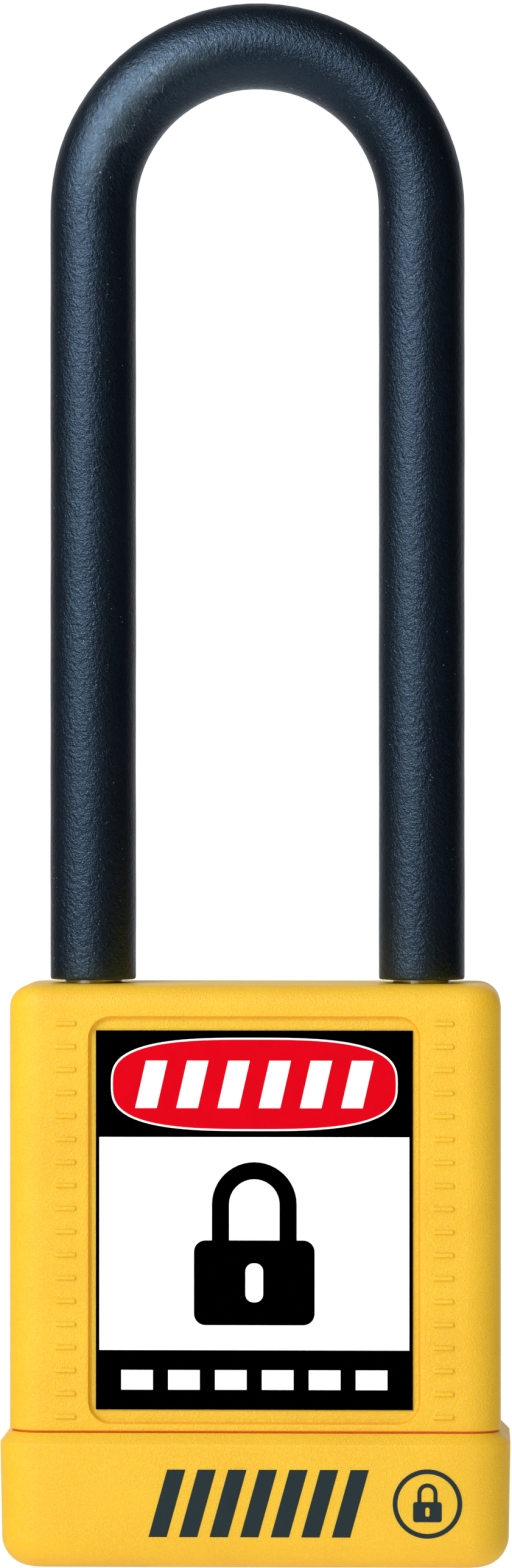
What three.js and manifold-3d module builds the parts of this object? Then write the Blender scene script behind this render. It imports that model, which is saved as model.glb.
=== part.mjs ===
// Safety lockout padlock with a long coated shackle.
//
// A yellow plastic cover and base cap clothe an aluminium lock body. A steel shackle with a
// plastic coating stands in two bores of that body. Two steel balls, spread by a cam, hold it
// down, and a six-pin cylinder in the base turns the cam.
//
// Units are millimetres and +Z is up. The origin is the centre of the underside, and the front
// faces -Y. The padlock is drawn shut and released: the plug stands a quarter turn from its pin
// line and the balls are drawn in, so that the shackle is free to rise.

import * as THREE from "three";
import { mergeVertices } from "three/addons/utils/BufferGeometryUtils.js";
import Module from "manifold-3d";

const wasm = await Module();
wasm.setup();

// ---------------------------------------------------------------- driving dimensions

const SNUG_GAP = 0.04; // between a fastener or a label and its seat
const TOUCH_GAP = 0.05; // between pieces that bear on each other
const RUNNING_GAP = 0.06; // between pieces that slide or turn on each other
const FREE_GAP = 0.12; // round the legs and balls in their bores
const SLIP_GAP = 0.15; // between parts that are put together by hand
const LOOSE_GAP = 0.25; // between pieces that only lie side by side
const SEAM_GAP = 0.16; // between the cover's edge and the cap's
const PAST = 1; // how far a cutting tool runs past the face that it starts from

const SLEEVE = { width: 42, depth: 19, top: 49.7, corner: 3, edge: 1.9, wall: 1.3, roof: 1.4 };
const CAP = {
  width: 43.8,
  depth: 20.8,
  top: 11.6,
  corner: 3.9,
  edge: 2.6,
  shoulder: 1, // the height of the slope along its top edge
  shoulderInset: 0.9,
  floor: 1.8,
  wall: 1.3,
  draft: 0.3, // how much each side leans in by the time it reaches the bottom
};
const SKIRT = { wall: 0.75, bottom: 2.2 }; // the sleeve's lower part, inside the cap
const SNAP = { length: 7, height: 1, proud: 0.35, z: 6.5, x: 11.5, groove: 0.1 };
const PANEL = { width: 28.3, height: 34.75, corner: 2, z: 29.73, deep: 0.45 };
const LABEL = { width: 27, height: 32.3, thick: 0.2 };
const GRIP = { count: 18, pitch: 1.97, width: 1.9, height: 0.45, proud: 0.2, x: 16.1 };
const KEY_HOLE = { gap: 0.4, lipTop: 0.5, slope: 1 }; // round the plug's flange, with a flared lip

const BODY = { width: 38.9, depth: 15.9, corner: 2, bottom: 2.2, top: 48.1, chamfer: 0.6 };

const LEG_X = 14.2; // the shackle's legs stand at +LEG_X (heel) and -LEG_X (toe)
const SHACKLE = {
  core: 2.5, // radius of the steel
  coat: 3.75, // radius over the coating
  bowZ: 116.45, // height where the straight legs end and the bow begins
  coatBottom: 50,
  heelEnd: 14,
  toeEnd: 37,
  chamfer: 0.6,
  sides: 18,
  bowSteps: 20,
};
const TRAVEL = 13.2; // how far the shackle rises, which lifts its toe clear of the cover
const SHACKLE_HOLE = 3; // radius of the holes in the cover's roof

const BALL = { radius: 3.175, z: 41.5, bite: 1.4 };
const BALL_HOME = LEG_X - SHACKLE.core - TOUCH_GAP - BALL.radius; // from the axis, when drawn in
const CAM = { gap: 0.1, low: 37.9, high: 45.1, bore: 6.85 };

const RETAINER = { radius: 1, z: 32.5, halfLength: 7.75, neck: 1.7, bevel: 0.3, play: 0.35 };
const RETAINER_X = LEG_X - RETAINER.neck - TOUCH_GAP - RETAINER.radius;

const SHACKLE_SPRING = { wire: 0.3, radius: 1.95, turns: 8, bottom: 5.6 };

const PLUG = {
  radius: 4.75,
  face: 0.9,
  flange: 5.4,
  flangeTop: 3.4,
  shankTop: 27.15,
  neck: 3.3,
  neckTop: 27.95,
  collar: 4.2,
  collarTop: 28.9,
  tongueTop: 31.2,
  tongue: 2.2,
  tongueHalf: 3.6,
  bevel: 0.4,
};
const CLIP = { radius: 5.8, thick: 0.6, mouth: 0.7 }; // mouth is half its angle, in radians
const HOUSING = { radius: 6.5, bottom: 2.2, top: 27, lobe: 3.5, lobeEnd: 15.6 };
const PINS = { first: 6, pitch: 3.1, radius: 1.35, shear: 4.55, chamberFloor: 2.2, bevel: 0.2 };
const KEY_PIN_LENGTHS = [3.9, 5.1, 4.5, 5.7, 4.2, 5.4];
const KEY_PIN = { point: 0.5, cone: 0.8 };
const DRIVER = { length: 3.4, foot: 0.12, band: 0.8, slope: 0.3, waist: 0.35 }; // foot is its gap
const PIN_SPRING = { wire: 0.13, radius: 1.05, turns: 5 };
const STRIP = { near: 13.1, thick: 0.8, halfWidth: 1.9, bottom: 2.6, top: 23.1 };
const SCREW = {
  x: 13.7,
  shank: 1.25,
  head: 2,
  headBottom: 34.1,
  headTop: 36,
  tip: 23.5,
  point: 0.4,
  bevel: 0.3,
  socket: 1,
  socketDepth: 1.2,
};
const TOE_FLOOR = 34; // bottom of the toe's bore, on which the cylinder screw's head bears

const CORNER_STEPS = 3; // three.js makes twice as many facets in each corner
const EDGE_STEPS = 4;

// ---------------------------------------------------------------- shapes and solids

// A closed three.js geometry as a solid that can be joined and cut.
function solidOf(geometry) {
  const bare = geometry.clone();
  bare.deleteAttribute("normal");
  bare.deleteAttribute("uv");
  const merged = mergeVertices(bare, 1e-4);
  const mesh = new wasm.Mesh({
    numProp: 3,
    vertProperties: merged.attributes.position.array,
    triVerts: new Uint32Array(merged.index.array),
  });
  return new wasm.Manifold(mesh);
}

function geometryOf(solid) {
  const mesh = solid.getMesh();
  const geometry = new THREE.BufferGeometry();
  geometry.setAttribute("position", new THREE.BufferAttribute(mesh.vertProperties, 3));
  geometry.setIndex(new THREE.BufferAttribute(mesh.triVerts, 1));
  geometry.computeVertexNormals();
  return geometry;
}

// A straight rod between two points. Its corners lie on the radius.
function rod(radius, from, to, sides = 24) {
  const start = new THREE.Vector3(...from);
  const along = new THREE.Vector3(...to).sub(start);
  const geometry = new THREE.CylinderGeometry(radius, radius, along.length(), sides);
  geometry.translate(0, along.length() / 2, 0);
  const up = new THREE.Vector3(0, 1, 0);
  geometry.applyQuaternion(new THREE.Quaternion().setFromUnitVectors(up, along.normalize()));
  geometry.translate(start.x, start.y, start.z);
  return solidOf(geometry);
}

// The same as a cutting tool: its flats lie on the radius, so a round piece of that radius fits.
function bore(radius, from, to, sides = 24) {
  return rod(radius / Math.cos(Math.PI / sides), from, to, sides);
}

function box(low, high) {
  const size = low.map((l, i) => high[i] - l);
  const geometry = new THREE.BoxGeometry(...size);
  geometry.translate(...low.map((l, i) => l + size[i] / 2));
  return solidOf(geometry);
}

// A solid of revolution about +Z, from a profile of [radius, z] that starts and ends on the axis.
function turned(profile, sides = 24) {
  const points = profile.map(([radius, z]) => new THREE.Vector2(radius, z));
  const geometry = new THREE.LatheGeometry(points, sides);
  geometry.rotateX(Math.PI / 2);
  return solidOf(geometry);
}

function roundedRectangle(width, depth, corner) {
  const x = width / 2 - corner;
  const y = depth / 2 - corner;
  const shape = new THREE.Shape();
  shape.moveTo(-x, -y - corner);
  shape.lineTo(x, -y - corner);
  shape.absarc(x, -y, corner, -Math.PI / 2, 0);
  shape.lineTo(x + corner, y);
  shape.absarc(x, y, corner, 0, Math.PI / 2);
  shape.lineTo(-x, y + corner);
  shape.absarc(-x, y, corner, Math.PI / 2, Math.PI);
  shape.lineTo(-x - corner, -y);
  shape.absarc(-x, -y, corner, Math.PI, (3 * Math.PI) / 2);
  return shape;
}

// A shape seen in plan, as an upright block. edge rounds or chamfers both of its ends.
function block(shape, low, high, edge = 0, edgeSteps = EDGE_STEPS) {
  const geometry = new THREE.ExtrudeGeometry(shape, {
    depth: high - low - 2 * edge,
    curveSegments: CORNER_STEPS,
    bevelEnabled: edge > 0,
    bevelThickness: edge,
    bevelSize: edge,
    bevelOffset: -edge,
    bevelSegments: edgeSteps,
  });
  geometry.translate(0, 0, low + edge);
  return solidOf(geometry);
}

// A shape seen from the front, centred at height z, as a plate between two depths.
function frontPlate(shape, z, front, back) {
  const geometry = new THREE.ExtrudeGeometry(shape, {
    depth: back - front,
    curveSegments: CORNER_STEPS,
    bevelEnabled: false,
  });
  geometry.rotateX(Math.PI / 2);
  geometry.translate(0, back, z);
  return solidOf(geometry);
}

// A solid and its copy turned half round the Z axis, from the function that makes it.
function onBothFaces(make) {
  const front = make();
  return [front, front.rotate([0, 0, 180])];
}

function cutAll(solid, tools) {
  return tools.reduce((left, tool) => left.subtract(tool), solid);
}

function joinAll(solids) {
  return solids.reduce((all, next) => all.add(next));
}

// ---------------------------------------------------------------- cover and base cap

// The cap's outside leans in towards the bottom, so that it leaves its mould.
function drafted(geometry) {
  const place = geometry.attributes.position;
  for (let i = 0; i < place.count; i++) {
    const lean = (CAP.draft * Math.max(0, CAP.top - place.getZ(i))) / CAP.top;
    place.setX(i, place.getX(i) * (1 - lean / (CAP.width / 2)));
    place.setY(i, place.getY(i) * (1 - lean / (CAP.depth / 2)));
  }
  return geometry;
}

function panelRecess() {
  const outline = roundedRectangle(PANEL.width, PANEL.height, PANEL.corner);
  const face = -SLEEVE.depth / 2;
  return frontPlate(outline, PANEL.z, face - PAST, face + PANEL.deep);
}

// The column of short raised ribs on one side of the label.
function gripRibs(side) {
  const face = -SLEEVE.depth / 2;
  const middle = (GRIP.count - 1) / 2;
  const ribs = [];
  for (let i = 0; i < GRIP.count; i++) {
    const x = side * GRIP.x;
    const z = PANEL.z + (i - middle) * GRIP.pitch;
    ribs.push(
      box(
        [x - GRIP.width / 2, face - GRIP.proud, z - GRIP.height / 2],
        [x + GRIP.width / 2, face + SLEEVE.wall / 2, z + GRIP.height / 2],
      ),
    );
  }
  return joinAll(ribs);
}

// Two ridges on the skirt's front and two on its back click into grooves in the cap.
function snapRidges(grow) {
  const face = -(CAP.depth / 2 - CAP.wall - LOOSE_GAP / 2);
  const ridge = (x) =>
    box(
      [x - SNAP.length / 2 - grow, face - SNAP.proud - grow, SNAP.z - SNAP.height / 2 - grow],
      [x + SNAP.length / 2 + grow, face + SKIRT.wall / 2, SNAP.z + SNAP.height / 2 + grow],
    );
  return joinAll([ridge(-SNAP.x), ridge(SNAP.x)]);
}

function coverSleeve() {
  const shellLow = CAP.top + SEAM_GAP;
  const overall = SLEEVE.width;
  const outer = block(
    roundedRectangle(SLEEVE.width, SLEEVE.depth, SLEEVE.corner),
    shellLow - 2 * SLEEVE.edge,
    SLEEVE.top,
    SLEEVE.edge,
  ).subtract(box([-overall, -overall, -overall], [overall, overall, shellLow]));
  const skirtWidth = CAP.width - 2 * CAP.wall - LOOSE_GAP;
  const skirtDepth = CAP.depth - 2 * CAP.wall - LOOSE_GAP;
  const skirt = block(
    roundedRectangle(skirtWidth, skirtDepth, SLEEVE.corner - LOOSE_GAP / 2),
    SKIRT.bottom,
    shellLow + SLEEVE.wall,
  );
  const cavity = block(
    roundedRectangle(BODY.width + 2 * LOOSE_GAP, BODY.depth + 2 * LOOSE_GAP, BODY.corner),
    SKIRT.bottom - PAST,
    SLEEVE.top - SLEEVE.roof,
  );
  const roof = [SLEEVE.top - SLEEVE.roof - PAST, SLEEVE.top + PAST];
  const legHoles = [-LEG_X, LEG_X].map((x) => bore(SHACKLE_HOLE, [x, 0, roof[0]], [x, 0, roof[1]]));
  const added = [
    skirt,
    ...onBothFaces(() => gripRibs(1)),
    ...onBothFaces(() => gripRibs(-1)),
    ...onBothFaces(() => snapRidges(0)),
  ];
  return cutAll(joinAll([outer, ...added]), [cavity, ...legHoles, ...onBothFaces(panelRecess)]);
}

function baseCap() {
  const outline = roundedRectangle(CAP.width, CAP.depth, CAP.corner);
  const settings = { curveSegments: CORNER_STEPS, bevelEnabled: true };
  const lower = new THREE.ExtrudeGeometry(outline, {
    ...settings,
    depth: CAP.top,
    bevelThickness: CAP.edge,
    bevelSize: CAP.edge,
    bevelOffset: -CAP.edge,
    bevelSegments: EDGE_STEPS,
  });
  lower.translate(0, 0, CAP.edge);
  const upper = new THREE.ExtrudeGeometry(outline, {
    ...settings,
    depth: CAP.top,
    bevelThickness: CAP.shoulder,
    bevelSize: CAP.shoulderInset,
    bevelOffset: -CAP.shoulderInset,
    bevelSegments: EDGE_STEPS,
  });
  upper.translate(0, 0, -CAP.shoulder);
  const outer = solidOf(drafted(lower)).intersect(solidOf(drafted(upper)));
  const pocket = block(
    roundedRectangle(CAP.width - 2 * CAP.wall, CAP.depth - 2 * CAP.wall, SLEEVE.corner),
    CAP.floor,
    CAP.top + PAST,
  );
  const hole = PLUG.flange + KEY_HOLE.gap;
  const keyHole = bore(hole, [0, 0, -PAST], [0, 0, CAP.floor + PAST], 32);
  const lip = turned([
    [0, -PAST],
    [hole + KEY_HOLE.slope * (KEY_HOLE.lipTop + PAST), -PAST],
    [hole, KEY_HOLE.lipTop],
    [0, KEY_HOLE.lipTop],
  ], 32);
  return cutAll(outer, [pocket, keyHole, lip, ...onBothFaces(() => snapRidges(SNAP.groove))]);
}

function label() {
  const size = [LABEL.width, LABEL.thick, LABEL.height];
  return solidOf(new THREE.BoxGeometry(...size));
}

// ---------------------------------------------------------------- shackle

// The centreline of the shackle: up the heel leg, round the bow and down the toe leg. Each leg
// is one step of the sweep, and the bow has all the others.
class ShackleLine extends THREE.Curve {
  constructor(heelEnd, toeEnd, bowSteps) {
    super();
    this.heelEnd = heelEnd;
    this.toeEnd = toeEnd;
    this.steps = bowSteps + 2;
  }

  angleAt(u) {
    const step = THREE.MathUtils.clamp(u * this.steps, 1, this.steps - 1);
    return (Math.PI * (step - 1)) / (this.steps - 2);
  }

  getPoint(u, target = new THREE.Vector3()) {
    const step = u * this.steps;
    const angle = this.angleAt(u);
    target.set(LEG_X * Math.cos(angle), 0, SHACKLE.bowZ + LEG_X * Math.sin(angle));
    if (step < 1) target.z = THREE.MathUtils.lerp(this.heelEnd, SHACKLE.bowZ, step);
    const past = step - (this.steps - 1);
    if (past > 0) target.z = THREE.MathUtils.lerp(SHACKLE.bowZ, this.toeEnd, past);
    return target;
  }

  getPointAt(u, target) {
    return this.getPoint(u, target);
  }

  getTangentAt(u, target = new THREE.Vector3()) {
    const angle = this.angleAt(u);
    return target.set(-Math.sin(angle), 0, Math.cos(angle));
  }
}

// A round section, solid or with a round hole, swept along a line.
function swept(line, steps, radius, hole, sides) {
  const ring = new THREE.Shape().absarc(0, 0, radius, 0, 2 * Math.PI);
  if (hole > 0) ring.holes.push(new THREE.Path().absarc(0, 0, hole, 0, 2 * Math.PI, true));
  const settings = { steps, extrudePath: line, curveSegments: sides / 2, bevelEnabled: false };
  return solidOf(new THREE.ExtrudeGeometry(ring, settings));
}

// What a lathe takes off the foot of a leg to chamfer it.
function footChamfer(x, z) {
  const outside = SHACKLE.core + PAST;
  const end = SHACKLE.core - SHACKLE.chamfer; // radius of the flat end
  const ring = turned([
    [0, -PAST],
    [outside, -PAST],
    [outside, outside - end],
    [0, outside - end],
  ]).subtract(turned([
    [0, -2 * PAST],
    [end, -2 * PAST],
    [end, 0],
    [outside + PAST, outside + PAST - end],
    [0, outside + PAST - end],
  ]));
  return ring.translate([x, 0, z]);
}

function shackleCore() {
  const line = new ShackleLine(SHACKLE.heelEnd, SHACKLE.toeEnd, SHACKLE.bowSteps);
  const bar = swept(line, line.steps, SHACKLE.core, 0, SHACKLE.sides);
  const seat = LEG_X - SHACKLE.core + BALL.bite - BALL.radius; // the ball's place when it bites
  const through = 2 * SHACKLE.core;
  const notch = (side) =>
    bore(BALL.radius + SLIP_GAP, [side * seat, -through, BALL.z], [side * seat, through, BALL.z], 32);
  const neckTop = RETAINER.z + RETAINER.radius + RETAINER.play;
  const neckBottom = RETAINER.z - RETAINER.radius - TRAVEL - 2 * TOUCH_GAP;
  const neck = rod(SHACKLE.core + PAST, [LEG_X, 0, neckBottom], [LEG_X, 0, neckTop]).subtract(
    rod(RETAINER.neck, [LEG_X, 0, neckBottom - PAST], [LEG_X, 0, neckTop + PAST]),
  );
  return cutAll(bar, [
    notch(1),
    notch(-1),
    neck,
    footChamfer(LEG_X, SHACKLE.heelEnd),
    footChamfer(-LEG_X, SHACKLE.toeEnd),
  ]);
}

function shackleCoating() {
  const line = new ShackleLine(SHACKLE.coatBottom, SHACKLE.coatBottom, SHACKLE.bowSteps);
  return swept(line, line.steps, SHACKLE.coat, SHACKLE.core + RUNNING_GAP, SHACKLE.sides);
}

// A compression spring's wire. Its first and last turns lie close, as ground ends do.
class Coil extends THREE.Curve {
  constructor(spring, length) {
    super();
    Object.assign(this, spring, { length });
  }

  getPoint(t, target = new THREE.Vector3()) {
    const turn = t * this.turns;
    const closePitch = 2.1 * this.wire;
    const free = this.length - 2 * this.wire - 2 * closePitch;
    const open = THREE.MathUtils.clamp((turn - 1) / (this.turns - 2), 0, 1);
    const closed = Math.min(turn, 1) + Math.max(turn - this.turns + 1, 0);
    const angle = 2 * Math.PI * turn;
    const z = this.wire + closePitch * closed + free * open;
    return target.set(this.radius * Math.cos(angle), this.radius * Math.sin(angle), z);
  }
}

function coilSpring(spring, length, stepsPerTurn) {
  return swept(new Coil(spring, length), spring.turns * stepsPerTurn, spring.wire, 0, 6);
}

// ---------------------------------------------------------------- lock body and its works

function lockBody() {
  const outline = roundedRectangle(BODY.width, BODY.depth, BODY.corner);
  const outer = block(outline, BODY.bottom, BODY.top, BODY.chamfer, 1);
  const legRadius = SHACKLE.core + FREE_GAP;
  const top = BODY.top + PAST;
  const half = BODY.depth;
  const lobeHalf = HOUSING.lobe + SLIP_GAP;
  const lobeTop = HOUSING.top + SLIP_GAP;
  return cutAll(outer, [
    bore(legRadius, [LEG_X, 0, SHACKLE_SPRING.bottom - TOUCH_GAP], [LEG_X, 0, top]),
    bore(legRadius, [-LEG_X, 0, TOE_FLOOR], [-LEG_X, 0, top]),
    bore(SCREW.shank + SLIP_GAP, [-SCREW.x, 0, HOUSING.top], [-SCREW.x, 0, TOE_FLOOR + PAST], 16),
    bore(HOUSING.radius + SLIP_GAP, [0, 0, 0], [0, 0, PLUG.collarTop], 40),
    bore(CAM.bore, [0, 0, PLUG.neckTop], [0, 0, CAM.high + LOOSE_GAP], 40),
    box([-HOUSING.lobeEnd - SLIP_GAP, -lobeHalf, 0], [0, lobeHalf, lobeTop]),
    bore(BALL.radius + FREE_GAP, [-BODY.width, 0, BALL.z], [LEG_X, 0, BALL.z]),
    bore(RETAINER.radius + SNUG_GAP, [RETAINER_X, -half, RETAINER.z], [RETAINER_X, half, RETAINER.z], 16),
  ]);
}

function retainingPin() {
  const { radius, halfLength: half, bevel } = RETAINER;
  return turned([
    [0, -half],
    [radius - bevel, -half],
    [radius, bevel - half],
    [radius, half - bevel],
    [radius - bevel, half],
    [0, half],
  ], 16);
}

function lockingBall() {
  return solidOf(new THREE.SphereGeometry(BALL.radius, 18, 10));
}

// How far the cam reaches at an angle from its pocket: it rises evenly over the quarter turn
// that locks, so each ball moves out in proportion to the turn, and falls away behind.
function camReach(angle) {
  const half = THREE.MathUtils.euclideanModulo(angle, Math.PI);
  const rising = Math.min(half / (Math.PI / 2), 1);
  const dropStart = THREE.MathUtils.degToRad(105);
  const dropEnd = THREE.MathUtils.degToRad(150);
  const falling = 1 - THREE.MathUtils.smoothstep(half, dropStart, dropEnd);
  const pocket = BALL_HOME - BALL.radius - CAM.gap;
  return pocket + (BALL.bite + TOUCH_GAP) * Math.min(rising, falling);
}

function actuator() {
  const steps = 72;
  const outline = new THREE.Shape();
  for (let i = 0; i < steps; i++) {
    const angle = (2 * Math.PI * i) / steps;
    const reach = camReach(angle);
    const place = [reach * Math.cos(angle), reach * Math.sin(angle)];
    if (i === 0) outline.moveTo(...place);
    else outline.lineTo(...place);
  }
  const land = camReach(Math.PI / 2);
  const cam = block(outline, CAM.low - PAST, CAM.high);
  const drumLow = PLUG.collarTop + LOOSE_GAP;
  const drum = rod(land, [0, 0, drumLow], [0, 0, CAM.low], 36);
  const slotHalf = PLUG.tongue / 2 + SLIP_GAP;
  const slot = box(
    [-slotHalf, -land - PAST, drumLow - PAST],
    [slotHalf, land + PAST, PLUG.tongueTop + LOOSE_GAP],
  );
  return drum.add(cam).subtract(slot);
}

// ---------------------------------------------------------------- cylinder

const pinHeight = (i) => PINS.first + PINS.pitch * i;

function eachPin(make) {
  return KEY_PIN_LENGTHS.map((_, i) => make(pinHeight(i)));
}

function cylinderHousing() {
  const { radius, bottom, top, lobe, lobeEnd } = HOUSING;
  const lobeRound = rod(lobe, [lobe - lobeEnd, 0, bottom], [lobe - lobeEnd, 0, top]);
  const lobeBlock = box([lobe - lobeEnd, -lobe, bottom], [0, lobe, top]);
  const barrel = rod(radius, [0, 0, bottom], [0, 0, top], 40);
  const chamber = (z) => bore(PINS.radius + RUNNING_GAP, [0, 0, z], [-lobeEnd - PAST, 0, z], 12);
  const stripSlot = box(
    [-STRIP.near - STRIP.thick - RUNNING_GAP, -STRIP.halfWidth - RUNNING_GAP, bottom - PAST],
    [-STRIP.near + RUNNING_GAP, STRIP.halfWidth + RUNNING_GAP, STRIP.top + RUNNING_GAP],
  );
  const low = bottom - PAST;
  const high = top + PAST;
  return cutAll(joinAll([barrel, lobeBlock, lobeRound]), [
    bore(PLUG.radius + RUNNING_GAP, [0, 0, low], [0, 0, high], 40),
    bore(PLUG.flange + RUNNING_GAP, [0, 0, low], [0, 0, PLUG.flangeTop + TOUCH_GAP], 40),
    ...eachPin(chamber),
    stripSlot,
    bore(SCREW.shank + SNUG_GAP, [-SCREW.x, 0, SCREW.tip - SLIP_GAP], [-SCREW.x, 0, high], 16),
  ]);
}

function chamberStrip() {
  return box(
    [-STRIP.near - STRIP.thick, -STRIP.halfWidth, STRIP.bottom],
    [-STRIP.near, STRIP.halfWidth, STRIP.top],
  );
}

function cylinderScrew() {
  const { shank, head, headBottom, headTop, tip, point, bevel } = SCREW;
  const blank = turned([
    [0, tip],
    [shank - point, tip],
    [shank, tip + point],
    [shank, headBottom],
    [head, headBottom],
    [head, headTop - bevel],
    [head - bevel, headTop],
    [0, headTop],
  ], 16);
  const socketFloor = headTop - SCREW.socketDepth;
  return blank.subtract(rod(SCREW.socket, [0, 0, socketFloor], [0, 0, headTop + PAST], 6));
}

// The keyway in section: the pins come in from -X, and a ward juts in from each side.
function keywayShape() {
  const outline = [
    [-3.7, -0.95],
    [-0.9, -0.95],
    [-0.5, -0.35],
    [0.8, -0.35],
    [1.2, -1.1],
    [4.1, -1.1],
    [4.1, 0.55],
    [1.7, 0.55],
    [1.3, 0.95],
    [-3.7, 0.95],
  ];
  return new THREE.Shape(outline.map(([x, y]) => new THREE.Vector2(x, y)));
}

// The plug with its pin line towards -X, as it stands when locked.
function plugSolid() {
  const blank = turned([
    [0, PLUG.face],
    [PLUG.flange - PLUG.bevel, PLUG.face],
    [PLUG.flange, PLUG.face + PLUG.bevel],
    [PLUG.flange, PLUG.flangeTop],
    [PLUG.radius, PLUG.flangeTop],
    [PLUG.radius, PLUG.shankTop],
    [PLUG.neck, PLUG.shankTop],
    [PLUG.neck, PLUG.neckTop],
    [PLUG.collar, PLUG.neckTop],
    [PLUG.collar, PLUG.collarTop],
    [0, PLUG.collarTop],
  ], 40);
  const tongue = box(
    [-PLUG.tongueHalf, -PLUG.tongue / 2, PLUG.neckTop],
    [PLUG.tongueHalf, PLUG.tongue / 2, PLUG.tongueTop],
  );
  const lastPin = pinHeight(KEY_PIN_LENGTHS.length - 1);
  const keyway = block(keywayShape(), PLUG.face - PAST, lastPin + 2 * PINS.radius);
  const chamber = (z) =>
    bore(PINS.radius + RUNNING_GAP, [PINS.chamberFloor, 0, z], [-PLUG.radius - PAST, 0, z], 12);
  return cutAll(blank.add(tongue), [keyway, ...eachPin(chamber)]);
}

function retainingClip() {
  const inner = PLUG.neck + RUNNING_GAP;
  const shape = new THREE.Shape();
  shape.absarc(0, 0, CLIP.radius, CLIP.mouth, 2 * Math.PI - CLIP.mouth);
  shape.absarc(0, 0, inner, 2 * Math.PI - CLIP.mouth, CLIP.mouth, true);
  const geometry = new THREE.ExtrudeGeometry(shape, {
    depth: CLIP.thick,
    curveSegments: 10,
    bevelEnabled: false,
  });
  return solidOf(geometry);
}

// A key pin: its pointed end, at z = 0, rides on the key.
function keyPin(length) {
  const { radius, bevel } = PINS;
  return turned([
    [0, 0],
    [KEY_PIN.point, 0],
    [radius, KEY_PIN.cone],
    [radius, length - bevel],
    [radius - bevel, length],
    [0, length],
  ], 12);
}

// A driver pin, waisted like a spool.
function driverPin() {
  const { radius, bevel } = PINS;
  const { length, band, slope } = DRIVER;
  const waist = radius - DRIVER.waist;
  return turned([
    [0, 0],
    [radius - bevel, 0],
    [radius, bevel],
    [radius, band],
    [waist, band + slope],
    [waist, length - band - slope],
    [radius, length - band],
    [radius, length - bevel],
    [radius - bevel, length],
    [0, length],
  ], 12);
}

// ---------------------------------------------------------------- materials

const finish = (color, roughness, metalness) =>
  new THREE.MeshStandardMaterial({ color, roughness, metalness });

const MATERIALS = {
  cover: finish(0xfdc62e, 0.5, 0),
  coating: finish(0x1b2229, 0.55, 0),
  label: finish(0xf4f4f2, 0.4, 0),
  aluminium: finish(0xb9bcc0, 0.4, 1),
  steel: finish(0xc4c6c9, 0.28, 1),
  springSteel: finish(0x9a9ca0, 0.35, 1),
  zinc: finish(0x8f9397, 0.45, 1),
  brass: finish(0xc9a14a, 0.32, 1),
};

// ---------------------------------------------------------------- assembly

const padlock = new THREE.Group();

function group(parent = padlock) {
  const made = new THREE.Group();
  parent.add(made);
  return made;
}

function piece(parent, name, solid, material) {
  const mesh = new THREE.Mesh(geometryOf(solid), material);
  mesh.name = name;
  parent.add(mesh);
  return mesh;
}

// Lays a piece that was made along +Z along -X instead, in the direction of the pin line.
function layOutward(mesh) {
  mesh.rotation.y = -Math.PI / 2;
  return mesh;
}

function addCase() {
  const shell = group();
  piece(shell, "cover_sleeve", coverSleeve(), MATERIALS.cover);
  piece(shell, "base_cap", baseCap(), MATERIALS.cover);
  const labelY = SLEEVE.depth / 2 - PANEL.deep + SNUG_GAP + LABEL.thick / 2;
  const front = piece(shell, "front_label", label(), MATERIALS.label);
  front.position.set(0, -labelY, PANEL.z);
  const rear = piece(shell, "rear_label", label(), MATERIALS.label);
  rear.position.set(0, labelY, PANEL.z);
}

function addShackle() {
  const shackle = group();
  piece(shackle, "shackle_core", shackleCore(), MATERIALS.steel);
  piece(shackle, "shackle_coating", shackleCoating(), MATERIALS.coating);
}

function addLockBody() {
  const works = group();
  piece(works, "lock_body", lockBody(), MATERIALS.aluminium);
  const pin = piece(works, "heel_retaining_pin", retainingPin(), MATERIALS.steel);
  pin.position.set(RETAINER_X, 0, RETAINER.z);
  pin.rotation.x = Math.PI / 2;
  const springLength = SHACKLE.heelEnd - SHACKLE_SPRING.bottom - 2 * TOUCH_GAP;
  const coil = coilSpring(SHACKLE_SPRING, springLength, 9);
  const spring = piece(works, "shackle_spring", coil, MATERIALS.springSteel);
  spring.position.set(LEG_X, 0, SHACKLE_SPRING.bottom);
  for (const [name, side] of [["heel_locking_ball", 1], ["toe_locking_ball", -1]]) {
    const ball = piece(works, name, lockingBall(), MATERIALS.steel);
    ball.position.set(side * BALL_HOME, 0, BALL.z);
  }
  piece(works, "actuator", actuator(), MATERIALS.zinc);
}

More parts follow.
